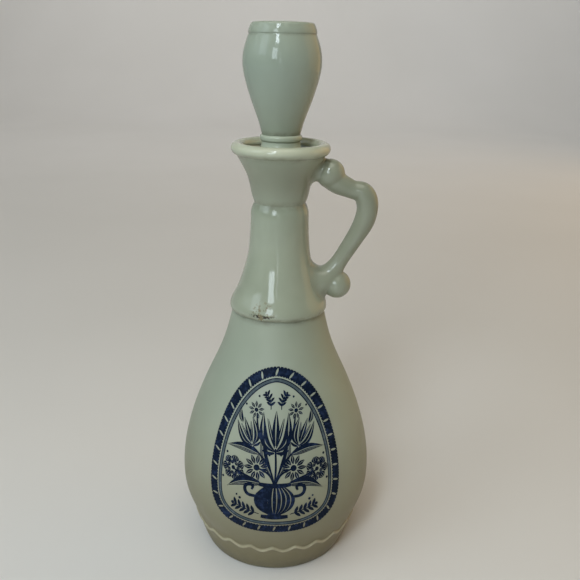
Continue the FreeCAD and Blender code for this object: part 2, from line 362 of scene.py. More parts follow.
def plainMesh(holder):  # the evaluated shape as a mesh of its own
    shape = bpy.data.meshes.new_from_object(holder.evaluated_get(bpy.context.evaluated_depsgraph_get()))
    source = holder.data
    holder.modifiers.clear()
    bpy.data.objects.remove(holder)
    bpy.data.meshes.remove(source)
    return shape


def runTree(treeAndNames, mesh, values):
    tree, names = treeAndNames
    holder = newHolder("holder", mesh)
    modifier = holder.modifiers.new("shape", "NODES")
    modifier.node_group = tree
    for label, value in values.items():
        modifier[names[label]] = value
    return plainMesh(holder)


def makeTurningTree():  # turns an outline round the axis; rows that follow the wave get a scalloped edge
    inputs = (("Segments", "Int"), ("Waves", "Int"), ("Wave depth", "Float"), ("Wave lean", "Float"),
              ("Crest width", "Float"), ("Material", "Material"))
    tree, names, graph, given = newTree("turnedOutline", inputs)
    outline = given.other("Geometry")
    segments = given.other("Segments")
    rows = graph.add("GeometryNodeAttributeDomainSize", {}, {"Geometry": outline}, "Point Count")
    grid = graph.add("GeometryNodeMeshGrid", {}, {"Vertices X": segments + 1, "Vertices Y": rows})
    index = graph.add("GeometryNodeInputIndex")
    column = index.math("FLOOR", index / rows)
    row = index - column * rows
    turn = column / segments * math.tau
    spot = graph.add("GeometryNodeSampleIndex", {"data_type": "FLOAT_VECTOR"},
                     {"Geometry": outline, "Value": graph.add("GeometryNodeInputPosition"), "Index": row})
    shares = {}
    for label in ("follow", "ridge"):
        noted = graph.add("GeometryNodeInputNamedAttribute", {"data_type": "FLOAT"}, {"Name": label})
        shares[label] = graph.add("GeometryNodeSampleIndex", {"data_type": "FLOAT"},
                                  {"Geometry": outline, "Value": noted, "Index": row})
    crest = given.other("Crest width")
    beat = turn.math("SINE", turn * given.other("Waves") * 0.5)
    arch = ((beat * beat + crest * crest) ** 0.5 - crest) / ((crest * crest + 1) ** 0.5 - crest)
    drop = arch * given.other("Wave depth") * shares["follow"]  # broad hollows between narrow rounded crests
    split = graph.add("ShaderNodeSeparateXYZ", {}, {0: spot})
    radius = split - drop * given.other("Wave lean")
    across = turn.math("COSINE", turn) * radius
    along = turn.math("SINE", turn) * radius
    put = graph.add("ShaderNodeCombineXYZ", {}, {0: across, 1: along, 2: split.other("Z") - drop})
    shaped = graph.add("GeometryNodeSetPosition", {}, {"Geometry": grid, "Position": put})
    marked = graph.add("GeometryNodeStoreNamedAttribute", {"data_type": "FLOAT", "domain": "POINT"},
                       {"Geometry": shaped, "Name": "ridge", "Value": shares["ridge"]})
    closed = graph.add("GeometryNodeMergeByDistance", {}, {"Geometry": marked, "Distance": seam})
    endTree(graph, closed, given)
    return tree, names


turningTree = makeTurningTree()


def lineMesh(points, closed=False, **attributes):
    mesh = bpy.data.meshes.new("line")
    count = len(points)
    edges = [(i, (i + 1) % count) for i in range(count if closed else count - 1)]
    mesh.from_pydata([tuple(point) for point in points], edges, [])
    for name, values in attributes.items():
        mesh.attributes.new(name, "FLOAT", "POINT").data.foreach_set("value", values)
    return mesh


def cornersOf(mesh, kind="co"):
    values = np.empty(len(mesh.vertices) * 3)
    mesh.vertices.foreach_get(kind, values)
    return values.reshape(-1, 3)


def addPiece(name, mesh, body, node=None, sharp=38.0):
    bm = bmesh.new()
    bm.from_mesh(mesh)
    bmesh.ops.remove_doubles(bm, verts=bm.verts, dist=weld)
    bmesh.ops.dissolve_degenerate(bm, edges=bm.edges, dist=weld)
    bmesh.ops.recalc_face_normals(bm, faces=bm.faces)
    for face in bm.faces:
        face.smooth = True
    for edge in bm.edges:
        edge.smooth = len(edge.link_faces) == 2 and edge.calc_face_angle(0.0) < math.radians(sharp)
    bm.to_mesh(mesh)
    bm.free()
    mesh.name = name
    piece = newHolder(name, mesh)
    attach(piece, body)
    if node:
        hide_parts(node)
    print("made", name, len(mesh.polygons), "faces")


def turnedPiece(name, outline, material, body, slotName, segments, follow=0.0, ridge=0.0, **wave):
    base = levelsOf(name)[0]
    points = np.array([(r, 0.0, z + base) for r, z in outline]) * mm
    mesh = lineMesh(points, follow=np.zeros(len(points)) + follow, ridge=np.zeros(len(points)) + ridge)
    values = {"Segments": segments, "Waves": wave.get("waves", 0), "Wave depth": wave.get("depth", 0.0) * mm,
              "Wave lean": wave.get("lean", 0.0), "Crest width": wave.get("crest", 1.0), "Material": material}
    addPiece(name, runTree(turningTree, mesh, values), body, name)


# Pear-shaped body with its scalloped foot collar. The bead is (along, away) from the wall at its edge. The
# scallops grow from waveFrom, are whole round the edge and are gone at the fade.
bodyLook = {
    "pear": ((45.43, 1.47), (48.4, 10.8), (52.59, 23.76), (57.7, 37.8), (59.1, 54.0),
             (54.16, 82.92), (42.51, 113.91), (32.62, 136.64), (27.2, 157.3)),
    "hollow": ((22.8, 157.3), (28.5, 135.0), (38.5, 112.0), (50.0, 81.6), (54.7, 54.0),
               (53.42, 38.83), (48.45, 25.25), (24.64, 8.2), (0.0, 10.0)),
    "foot": 44.8, "ringOuter": 43.2, "ringInner": 36.2, "pushUp": 4.0, "pushRound": 0.55,
    "flare": 23.0, "edge": 21.7, "relief": 0.6, "swell": 10.1,
    "bead": ((-2.6, 0.6), (-2.0, 0.64), (-1.5, 0.76), (-1.0, 0.98), (-0.5, 1.12), (-0.05, 1.02),
             (0.35, 0.76), (0.7, 0.42), (1.05, 0.14), (1.4, -0.02), (1.75, -0.08), (2.1, -0.03)),
    "ridgeHighlight": (0.8, 1.3),  # away and reach of the painted highlight along the bead's top
    "scallops": 24, "depth": 3.0, "crest": 0.55, "waveFrom": 5.0, "wholeBelow": 2.0,
    "wholeAbove": 1.5, "fade": 33.0, "wallAbove": 2.3, "wallGap": 2.5, "segments": 480,
    # painted shade along the foot and under the neck's lip
    "shadedCreases": ((0.0, 17.0, 0.9), (157.3, 4.0, 0.6)), "tones": ((120.0, 75.0, 0.16, "cool"),)}
flare = math.radians(bodyLook["flare"])
footAim = (math.sin(flare), math.cos(flare))
pearLine = smoothLine(bodyLook["pear"], 240, footAim)


def pearRadius(height):
    return np.interp(height, pearLine[:, 1], pearLine[:, 0])


def pearSlope(height):
    return pearRadius(height + 0.5) - pearRadius(height - 0.5)


def makeBottleBody():
    look = bodyLook
    top = levelsOf("bottle_body")[1]
    edge, fade, waveFrom = look["edge"], look["fade"], look["waveFrom"]
    lean = float(pearSlope(edge))
    out = np.array((1.0, -lean)) / math.hypot(1.0, lean)  # away from the wall at the scalloped edge
    up = np.array((-out[1], out[0]))
    brink = np.array((float(pearRadius(edge)), edge))
    bead = [brink + up * along + out * away for along, away in look["bead"]]
    swell = np.array((float(pearRadius(look["swell"])), look["swell"])) + out * look["relief"]
    collar = smoothLine((look["pear"][0], swell, bead[0]), 18, footAim, up)
    above = np.concatenate((np.linspace(edge + look["wallAbove"], fade, 14),
                            np.linspace(fade + look["wallGap"], top, 48)))
    wall = np.stack((pearRadius(above), above), 1)
    inner, pushUp = look["ringInner"], look["pushUp"]
    under = softCorner((0.0, pushUp), (inner * look["pushRound"], pushUp), (inner, 0.0), 10)
    foot = softCorner((look["ringOuter"], 0.0), (look["foot"], 0.0), look["pear"][0], 7)
    outside = joinLines(under, foot, collar, bead, wall)
    outline = joinLines(outside, smoothLine(look["hollow"], 44, None, (-1.0, 0.0)))
    heights = outside[:, 1]
    rise = easeShare((heights - waveFrom) / (edge - look["wholeBelow"] - waveFrom))
    fall = easeShare((fade - heights) / (fade - edge - look["wholeAbove"]))
    # the painted highlight runs along the top of the bead
    highlightAway, highlightReach = look["ridgeHighlight"]
    away = np.linalg.norm(outside - brink - out * highlightAway, axis=1)
    plain = np.zeros(len(outline) - len(outside))  # the hollow has no scallops
    follow = np.concatenate((np.minimum(rise, fall), plain))
    ridge = np.concatenate((np.maximum(0.0, 1.0 - (away / highlightReach) ** 2), plain))
    glass = satinOpal("satinOpalGlass", look["shadedCreases"], look["tones"])
    turnedPiece("bottle_body", outline, glass, "bottle", "satin_opal_glass", look["segments"], follow, ridge,
                waves=look["scallops"], depth=look["depth"], lean=lean, crest=look["crest"])


makeBottleBody()

# Flared neck, pouring cup and rolled rim
neckLook = {
    "skirt": ((28.9, 1.6), (25.27, 10.83), (21.77, 20.19), (18.62, 31.47), (17.22, 44.59),
              (16.8, 54.15), (16.24, 60.2), (14.8, 63.7)), "skirtAims": ((0.0, 1.0), (-1.44, 3.5)),
    "cup": ((14.8, 63.7), (15.72, 66.16), (16.89, 70.91), (18.78, 78.44), (21.79, 84.88), (25.52, 91.45)),
    "funnel": ((22.05, 93.88), (18.5, 86.4), (15.3, 79.7), (13.4, 71.9), (11.9, 69.7)),
    "passage": ((11.39, 48.7), (14.7, 30.5), (18.0, 18.8), (21.5, 9.4), (22.8, 0.0)),
    "rimCentre": (24.6, 94.2), "rimRoll": 3.4, "rimArc": (-80.0, 190.0), "lip": 28.9,
    "lipRounding": 1.6, "inner": 22.8, "segments": 240,
    # painted shade in the waist groove, under the rim and along the lip's lower edge
    "shadedCreases": ((221.0, 4.0, 0.4), (248.4, 3.0, 0.4), (158.2, 2.0, 0.6)),
    # painted shade over the downward-facing cup, and a paler painted light on the rim's top
    "tones": ((234.0, 18.0, 0.34, "paintedShade"), (252.6, 5.0, 0.65, "lip")),
    "wear": {"centre": (-8.6, -26.6, 161.6), "reach": 9.5, "core": 0.35, "dull": 0.2,
             "gilt": (430.0, 3.0, 0.65), "giltRange": (0.54, 0.62), "giltShare": 0.8,
             "nick": (700.0, 2.0, 0.6), "nickRange": (0.47, 0.55), "nickLevel": 160.2,
             "nickWidth": (0.35, 1.15)}}
skirtLine = smoothLine(neckLook["skirt"], 74, *neckLook["skirtAims"])
cupLine = smoothLine(neckLook["cup"], 40)


def makeBottleNeck():
    look = neckLook
    seat = (look["inner"], 0.0)
    lip = softCorner((look["lip"] - look["lipRounding"], 0.0), (look["lip"], 0.0), look["skirt"][0], 9)
    rim = roundArc(look["rimCentre"], look["rimRoll"], *look["rimArc"], 34)
    outline = joinLines(seat, lip, skirtLine, cupLine, rim, smoothLine(look["funnel"], 26),
                        smoothLine(look["passage"], 24), seat)
    glass = glossOpal("glossOpalNeck", look["shadedCreases"], look["tones"], look["wear"])
    turnedPiece("bottle_neck", outline, glass, "bottle", "gloss_opal_glass", look["segments"])


makeBottleNeck()

# Scroll handle: (reach, level, radius) along its centre line, then its two balls
handleLook = {
    "scroll": ((14.1, 239.8, 6.0), (20.1, 239.5, 5.9), (25.2, 238.0, 6.5), (30.0, 234.5, 6.7),
               (34.5, 231.6, 6.2), (38.6, 229.9, 5.6), (42.0, 228.6, 5.35), (46.2, 227.7, 5.95),
               (49.5, 223.4, 6.4), (50.3, 217.9, 6.2), (48.9, 210.6, 6.0), (45.2, 202.9, 5.35),
               (39.6, 193.1, 4.9), (34.6, 184.6, 5.05), (31.0, 179.0, 6.7), (27.0, 175.4, 8.8),
               (22.0, 173.8, 9.7), (17.0, 173.4, 10.1)),
    "balls": ((28.2, 237.7, 8.4), (34.6, 171.8, 8.4)), "rings": 150, "sides": 48, "ballRings": 32,
    "voxel": 0.45, "soften": 14, "softenShare": 0.6, "fillet": 4.0, "seat": 1.1, "sharp": 60.0,
    # a broad painted shade darkens the handle
    "tones": ((205.0, 90.0, 0.34, "paintedShade"),)}


def tubeAlong(bm, line, sides):  # rings square to a line in the plane of the handle
    ways = np.gradient(line[:, :2], axis=0)
    ways /= np.linalg.norm(ways, axis=1)[:, None]
    turns = np.linspace(0, math.tau, sides, endpoint=False)
    rings = []
    for (x, z, radius), (wayX, wayZ) in zip(line, ways):
        spread = [(radius * math.cos(t), radius * math.sin(t)) for t in turns]
        rings.append([bm.verts.new((x - wayZ * up, side, z + wayX * up)) for up, side in spread])
    for low, high in zip(rings, rings[1:]):
        for i in range(sides):
            bm.faces.new((low[i], low[(i + 1) % sides], high[(i + 1) % sides], high[i]))
    bm.faces.new(rings[0])
    bm.faces.new(rings[-1])


def neckOutside(heights):
    line = np.concatenate((skirtLine, cupLine[1:]))
    return np.interp(heights, (line[:, 1] + levelsOf("bottle_neck")[0]) * mm, line[:, 0] * mm)


def makeHandle():
    look = handleLook
    fillet = look["fillet"] * mm
    bm = bmesh.new()
    tubeAlong(bm, smoothLine(look["scroll"], look["rings"]) * mm, look["sides"])
    for x, z, radius in look["balls"]:
        bmesh.ops.create_uvsphere(bm, u_segments=look["sides"], v_segments=look["ballRings"],
                                  radius=radius * mm, matrix=Matrix.Translation((x * mm, 0, z * mm)))
    bmesh.ops.recalc_face_normals(bm, faces=bm.faces)
    mesh = bpy.data.meshes.new("handle")
    bm.to_mesh(mesh)
    bm.free()
    holder = newHolder("holder", mesh)
    remesh = holder.modifiers.new("one skin", "REMESH")
    remesh.mode = "VOXEL"
    remesh.voxel_size = look["voxel"] * mm
    soften = holder.modifiers.new("melted joints", "SMOOTH")
    soften.factor = look["softenShare"]
    soften.iterations = look["soften"]
    shape = plainMesh(holder)
    spots = cornersOf(shape)
    aside = cornersOf(shape, "normal")
    reach = np.hypot(spots[:, 0], spots[:, 1])
    outward = spots[:, :2] / reach[:, None]
    aside[:, :2] -= outward * (aside[:, :2] * outward).sum(1)[:, None]
    clear = reach - neckOutside(spots[:, 2])
    near = np.clip(1 - clear / fillet, 0, 1)  # the glass spreads where it joins the neck
    spots += aside * (fillet * (1 - np.sqrt(1 - near ** 2)))[:, None]
    reach = np.hypot(spots[:, 0], spots[:, 1])
    sunk = np.maximum(clear, -look["seat"] * mm)  # the ends stop inside the neck's wall
    held = neckOutside(spots[:, 2]) + sunk
    spots[:, :2] *= (np.where(near > 0, held, reach) / reach)[:, None]
    shape.vertices.foreach_set("co", spots.ravel())
    shape.materials.clear()
    shape.materials.append(glossOpal("glossOpalHandle", tones=look["tones"]))
    addPiece("handle", shape, "bottle", "handle", sharp=look["sharp"])


makeHandle()

# Stopper: urn head, collar ring, plug and cork sleeve. The levels of the head's painted shade and tones start
# at its foot.
headLook = {
    "urn": ((10.8, 0.0), (12.57, 6.51), (16.0, 15.9), (19.36, 26.18), (21.5, 37.4), (20.72, 44.85),
            (18.5, 51.7)),
    "groove": (18.1, 52.3), "band": ((18.5, 52.9), (18.15, 54.6), (17.37, 56.6)),
    "crownCorner": (16.9, 58.2), "crownEdge": (15.3, 58.2), "crown": 58.9,
    "socket": 7.15, "ceiling": ((0.0, 54.8), (11.7, 54.8)),
    "hollow": ((17.4, 44.0), (18.1, 37.4), (16.1, 27.3), (7.15, 12.15)), "segments": 200, "shine": 0.34,
    # painted shade in the groove and at the head's foot, and a cool painted reflection over the head
    "shadedCreases": ((52.3, 1.6, 0.25), (0.5, 2.5, 0.5)), "tones": ((34.0, 48.0, 0.34, "cool"),)}
collarLook = {"inner": 7.15, "outer": 11.85, "rounding": 1.5, "segments": 128}
plugLook = {
    "tip": ((5.6, 0.0), (6.45, 0.0), (6.85, 0.7)), "barb": (8.6, 3.0), "core": 7.0, "coreRounding": 0.7,
    "shoulder": 23.6, "shoulderRounding": (0.8, 0.9), "shank": 11.4, "bellLow": 45.4,
    "bell": ((13.3, 46.7), (10.9, 48.0), (10.9, 52.3)), "segments": 128}
corkLook = {"inner": 7.15, "low": 11.2, "high": 11.69, "worn": 0.8, "taper": 0.02, "segments": 128}


def raised(bands, base):
    return [(level + base, *rest) for level, *rest in bands]


def makeStopperHead():
    look = headLook
    base = levelsOf("stopper_head")[0]
    urn = smoothLine(look["urn"], 80)
    groove = softCorner(urn[-1], look["groove"], look["band"][0], 7)
    band = smoothLine(look["band"], 8)
    edge = softCorner(look["band"][-1], look["crownCorner"], look["crownEdge"], 8)
    crown = softCorner(look["crownEdge"], (look["crownEdge"][0] / 2, look["crown"]), (0.0, look["crown"]), 8)
    outline = joinLines(look["ceiling"], smoothLine(look["hollow"], 20), (look["socket"], 0.0), urn, groove,
                        band, edge, crown)
    glass = glossOpal("glossOpalStopper", raised(look["shadedCreases"], base), raised(look["tones"], base),
                      shine=look["shine"])
    turnedPiece("stopper_head", outline, glass, "stopper", "gloss_opal_glass", look["segments"])


def makeStopperCollar():
    look = collarLook
    low, high = levelsOf("stopper_collar")
    tall = high - low
    inner, rounding = look["inner"], look["rounding"]
    middle = look["outer"] - rounding
    lower = roundArc((middle, rounding), rounding, -90, 0, 10)
    upper = roundArc((middle, tall - rounding), rounding, 0, 90, 10)
    outline = joinLines((inner, 0.0), lower, upper, (inner, tall), (inner, 0.0))
    turnedPiece("stopper_collar", outline, plastic, "stopper", "plug_plastic", look["segments"])


def makeStopperPlug():
    look = plugLook
    low, high = levelsOf("stopper_plug")
    tall = high - low
    core, shank, shoulder, barb = look["core"], look["shank"], look["shoulder"], look["barb"]
    inset, drop = look["shoulderRounding"]
    rounding = look["coreRounding"]
    tip = softCorner(*look["tip"], 4)
    neck = softCorner((shank - inset, shoulder), (shank, shoulder), (shank, shoulder + drop), 6)
    bell = softCorner(*look["bell"], 14)
    spigot = softCorner((core, tall - rounding), (core, tall), (core - rounding, tall), 4)
    outline = joinLines((0.0, 0.0), tip, barb, (core, barb[1]), (core, shoulder), neck,
                        (shank, look["bellLow"]), bell, (core, bell[-1][1]), spigot, (0.0, tall))
    turnedPiece("stopper_plug", outline, plastic, "stopper", "plug_plastic", look["segments"])


def makeCorkSleeve():
    look = corkLook
    inner, low, high, worn, taper = look["inner"], look["low"], look["high"], look["worn"], look["taper"]
    bottom, top = levelsOf("cork_sleeve")
    tall = top - bottom
    foot = softCorner((low - worn, 0.0), (low, 0.0), (low + taper, worn), 5)
    head = softCorner((high, tall - worn), (high, tall), (high - worn, tall), 5)
    side = np.linspace((low + taper * 2, worn * 2), (high - taper, tall - worn * 2), 12)
    outline = joinLines((inner, 0.0), foot, side, head, (inner, tall), (inner, 0.0))
    turnedPiece("cork_sleeve", outline, naturalCork("corkBark"), "cork", "cork", look["segments"])


plastic = mouldedPlastic("plugPlastic")
makeStopperHead()
makeStopperCollar()
makeStopperPlug()
makeCorkSleeve()

# Printed medallion: flat shapes in millimetres, across and up, wrapped on the front of the body
printLook = {
    "widest": 68.0, "halfWidth": 40.9, "below": 30.4, "above": 64.9, "belowPower": 2.7,
    "abovePower": 1.84, "centre": 84.0, "aside": 0.6, "pathSteps": 360,
    "band": 5.3, "strokes": 150, "slitEvery": 5, "strokeWidth": 2.25, "slit": 1.2, "slant": 0.30,
    "strokeGirth": (0.45, 0.8, 0.97, 1.0, 1.0, 1.0, 1.0, 0.9, 0.6),
    "slitGirth": (0.0, 0.3, 0.85, 1.0, 1.0, 0.9, 0.5, 0.0, 0.0), "slitMost": 0.9,
    "lineOuter": 6.0, "lineInner": 8.3, "lineEdge": 0.55, "lift": 0.07, "depth": 0.12,
    "layer": 0.012, "layers": 4, "face": 1.8, "hairline": 0.004, "weld": 1e-5, "sharp": 30.0,
    "navy": (colour(16, 27, 45), colour(50, 66, 102), 0.55),
    "slate": (colour(74, 86, 92), colour(108, 120, 124), 0.7)}


def eggLine(inset):  # clockwise, so that outwards is on its left
    look = printLook
    count = look["pathSteps"]
    t = np.linspace(0, math.tau, count * 4, endpoint=False)
    across, up = np.sin(t), np.cos(t)
    power = np.where(up > 0, look["abovePower"], look["belowPower"])
    tall = np.where(up > 0, look["above"], look["below"])
    points = np.stack((look["halfWidth"] * np.sign(across) * np.abs(across) ** (2 / power),
                       look["widest"] + tall * np.sign(up) * np.abs(up) ** (2 / power)), 1)
    closed = np.concatenate((points, points[:1]))
    travel = np.concatenate(([0.0], np.cumsum(np.linalg.norm(np.diff(closed, axis=0), axis=1))))
    even = np.linspace(0, travel[-1], count, endpoint=False)
    points = np.stack([np.interp(even, travel, closed[:, k]) for k in (0, 1)], 1)
    way = np.roll(points, -1, 0) - np.roll(points, 1, 0)
    way /= np.linalg.norm(way, axis=1)[:, None]
    return points + inset * np.stack((way[:, 1], -way[:, 0]), 1)


def onBody(spots):  # (across, up, lift) in millimetres to metres on the pear
    across, up, lift = spots.T
    radius = pearRadius(up)
    slope = pearSlope(up)
    long = np.hypot(1.0, slope)
    turn = (across + printLook["aside"]) / radius
    reach = radius + lift / long
    return np.stack((reach * np.sin(turn), -reach * np.cos(turn), up - lift * slope / long), 1) * mm


def wrapped(name, flat, material):  # thickens the flat shapes and lays them on the glass
    look = printLook
    bm = bmesh.new()
    bm.from_mesh(flat)
    bmesh.ops.remove_doubles(bm, verts=bm.verts, dist=look["weld"])
    grown = bmesh.ops.extrude_face_region(bm, geom=bm.faces[:], use_keep_orig=True)["geom"]
    tops = [part for part in grown if isinstance(part, bmesh.types.BMVert)]
    bmesh.ops.translate(bm, verts=tops, vec=(0, 0, look["depth"]))
    bm.to_mesh(flat)
    bm.free()
    flat.vertices.foreach_set("co", onBody(cornersOf(flat)).ravel())
    flat.materials.clear()
    flat.materials.append(material)
    addPiece(name, flat, "bottle", sharp=look["sharp"])


def patchMesh(patches):  # each patch is a grid, and its layer keeps overlapping strokes apart
    look = printLook
    spots, faces = [], []
    for number, grid in enumerate(patches):
        base = len(spots)
        rows, columns = grid.shape[:2]
        lift = look["lift"] - look["depth"] + look["layer"] * (number % look["layers"])
        spots += [(u, v, lift) for u, v in grid.reshape(-1, 2)]
        for i in range(rows - 1):
            for j in range(columns - 1):
                a = base + i * columns + j
                faces.append((a, a + columns, a + columns + 1, a + 1))
    mesh = bpy.data.meshes.new("flat")
    mesh.from_pydata(spots, [], faces)
    return mesh


def between(first, second, low, high, width):  # part of the way from one edge to the other
    shares = np.linspace(0, 1, 2 + int(width / printLook["face"]))
    share = low[:, None] + (high - low)[:, None] * shares[None, :]
    return first[:, None, :] * (1 - share)[:, :, None] + second[:, None, :] * share[:, :, None]


def hatched(first, second, bands, gaps, steps=14):  # strokes side by side that part towards the tip
    a, b = smoothLine(first, steps), smoothLine(second, steps)
    parting = np.linspace(gaps[0], gaps[1], steps) / bands / 2
    widest = np.linalg.norm(a - b, axis=1).max() / bands
    return [between(a, b, k / bands + parting, (k + 1) / bands - parting, widest) for k in range(bands)]


def brush(points, width, start=0.3, end=0.0, swell=0.6, steps=16):  # one stroke, lean at its start and end
    line = smoothLine(points, steps)
    way = np.gradient(line, axis=0)
    way /= np.linalg.norm(way, axis=1)[:, None]
    side = np.stack((-way[:, 1], way[:, 0]), 1)
    t = np.linspace(0, 1, steps)
    least = start * (1 - t) + end * t
    girth = least + (1 - least) * np.sin(math.pi * t) ** swell
    half = width / 2 * girth[:, None] + printLook["hairline"]
    return [between(line + side * half, line - side * half, 0 * t, 0 * t + 1, width)]


def disc(centre, radius, rings=2, sides=14):
    t = np.linspace(0, math.tau, sides + 1)
    rim = np.stack((np.cos(t), np.sin(t)), 1) * radius
    return [np.stack([np.array(centre) + rim * share for share in np.linspace(0.04, 1, rings + 1)], 1)]


def placed(patches, centre, angle, size):
    turn = math.radians(angle)
    spin = np.array(((math.cos(turn), math.sin(turn)), (-math.sin(turn), math.cos(turn))))
    return [grid @ spin * size + np.array(centre) for grid in patches]


def mirrored(patches):
    return [grid * np.array((-1.0, 1.0)) for grid in patches]


def tulip():  # base at the origin, one unit tall
    half = hatched([(0.0, 0.0), (0.34, 0.14), (0.44, 0.46), (0.33, 0.96)],
                   [(0.0, 0.03), (0.14, 0.25), (0.22, 0.55), (0.31, 0.93)], 2, (0.05, 0.45))
    half += hatched([(0.03, 0.10), (0.16, 0.40), (0.23, 0.82)],
                    [(0.01, 0.12), (0.06, 0.42), (0.18, 0.80)], 2, (0.05, 0.55))
    half += brush([(0.03, -0.02), (0.20, -0.02), (0.34, 0.05)], 0.08)
    return half + mirrored(half) + hatched([(-0.06, 0.16), (-0.11, 0.50), (0.0, 1.0)],
                                           [(0.06, 0.16), (0.11, 0.50), (0.02, 0.99)], 2, (0.1, 0.5))


def daisy(petals):  # one unit in radius
    patches = disc((0, 0), 0.24)
    petal = hatched([(-0.02, 0.32), (-0.17, 0.66), (-0.03, 1.0)],
                    [(0.02, 0.32), (0.17, 0.66), (0.03, 1.0)], 2, (0.08, 0.35))
    for i in range(petals):
        patches += placed(petal, (0, 0), 360 * i / petals, 1.0)
    return patches


def rosette(petals):  # two rows of broad petals, one unit in radius
    patches = disc((0, 0), 0.17)
    petal = hatched([(-0.05, 0.5), (-0.36, 0.78), (-0.12, 1.0)],
                    [(0.05, 0.5), (0.36, 0.78), (0.12, 1.0)], 4, (0.02, 0.3))
    for i in range(petals):
        patches += placed(petal, (0, 0), 360 * i / petals, 1.0)
        patches += placed(petal, (0, 0), 360 * (i + 0.5) / petals, 0.58)
    return patches


def leaf(base, tip, bow, width):  # one half solid, the other in strokes
    base, tip = np.array(base, float), np.array(tip, float)
    way = tip - base
    side = np.array((-way[1], way[0])) / np.linalg.norm(way)
    line = smoothLine([base, base + way * 0.5 + side * bow, tip], 7)
    swell = np.sin(math.pi * np.linspace(0, 1, 7) ** 0.8)[:, None] * width * side
    rib = side * 0.15
    return (hatched(line + rib, line + swell, 1, (0.0, 0.0))
            + hatched(line - rib, line - swell * 0.9, 3, (0.25, 0.45)))


def sprig(points, leaves, size):
    patches = brush(points, 0.6, 0.7, 0.3)
    line = smoothLine(points, leaves + 3)
    for i in range(1, leaves + 2):
        way = line[i + 1] - line[i - 1]
        way /= np.linalg.norm(way)
        for side in (-1, 1):
            out = way * 0.62 * size + side * 0.8 * size * np.array((-way[1], way[0]))
            blade = [line[i], line[i] + out * 0.55 + way * 0.3, line[i] + out]
            patches += brush(blade, size * 0.4, 0.15, 0.1, swell=0.8, steps=8)
    return patches + disc(line[-1], size * 0.22, 1, 8)


def ribbedVase():  # foot at the origin, one unit tall
    side = [(-0.15, 0.10), (-0.46, 0.30), (-0.52, 0.56), (-0.27, 0.86)]
    patches = hatched(side, [(-x, y) for x, y in side], 9, (0.10, 0.25))
    patches += hatched(side, [(x * 0.3, y) for x, y in side], 4, (0.0, 0.2))
    patches += brush([(-0.40, 0.92), (0.0, 0.89), (0.40, 0.92)], 0.11, 0.7, 0.7)
    patches += brush([(-0.34, 0.04), (0.0, 0.02), (0.34, 0.04)], 0.12, 0.7, 0.7)
    patches += brush([(-0.17, 0.10), (0.0, 0.09), (0.17, 0.10)], 0.07, 0.8, 0.8)
    grip = brush([(0.49, 0.60), (0.72, 0.66), (0.72, 0.86), (0.55, 0.86), (0.58, 0.76)], 0.08,
                 0.8, 0.5, swell=0.5, steps=20)
    return patches + grip + mirrored(grip)


# Vase of flowers from the medallion's centre: its right half, then its middle
sprayLook = {
    "stems": (((0.5, -14.0), (3.0, -5.5), (13.0, 6.5)), ((0.5, -14.0), (3.5, -8.5), (11.0, -5.0)),
              ((9.0, -13.0), (16.0, -10.5), (25.0, -8.0)), ((3.0, 2.0), (9.0, 12.0), (11.0, 24.0))),
    "stemWidth": 1.1,
    "blossoms": ((tulip(), (13.2, 7.0), -20, 15.0), (daisy(11), (10.6, -5.0), 8, 7.4),
                 (rosette(7), (24.8, -7.5), 12, 7.0), (daisy(9), (11.4, 25.8), 0, 4.6)),
    "leaves": (((1.6, -10.0), (7.0, 17.0), -2.6, 2.2), ((9.0, 2.4), (29.0, 4.6), 1.8, 2.5),
               ((7.0, -14.2), (28.6, -19.0), 3.0, 3.2), ((19.4, 18.0), (20.3, 25.0), -1.0, 1.5)),
    "sprigs": ((((9.0, -33.2), (17.0, -31.0), (25.0, -28.5)), 4, 4.6),
               (((3.0, 26.5), (3.4, 31.0), (6.0, 35.0)), 3, 3.2)),
    "dots": ((29.0, 0.4, 0.7), (17.4, 28.0, 0.6), (9.8, 33.0, 0.6), (31.6, -14.0, 0.7),
             (20.5, -24.5, 0.8), (22.5, -22.8, 0.6)),
    "vase": ((0.0, -35.5), 0, 23.0), "middleStem": ((0.0, -14.0), (0.4, -6.0), (0.0, 6.0)),
    "middleWidth": 1.2, "middleTulip": ((0.0, 4.0), 0, 22.0)}


def flowerVase():
    look = sprayLook
    half = []
    for stem in look["stems"]:
        half += brush(stem, look["stemWidth"], 0.9, 0.6, steps=20)
    for blossom in look["blossoms"]:
        half += placed(*blossom)
    for blade in look["leaves"]:
        half += leaf(*blade)
    for twig in look["sprigs"]:
        half += sprig(*twig)
    for x, y, size in look["dots"]:
        half += disc((x, y), size, 1, 10)
    whole = placed(ribbedVase(), *look["vase"]) + half + mirrored(half)
    whole += brush(look["middleStem"], look["middleWidth"], 0.9, 0.7)
    whole += placed(tulip(), *look["middleTulip"])
    return [grid + np.array((0.0, printLook["centre"])) for grid in whole]


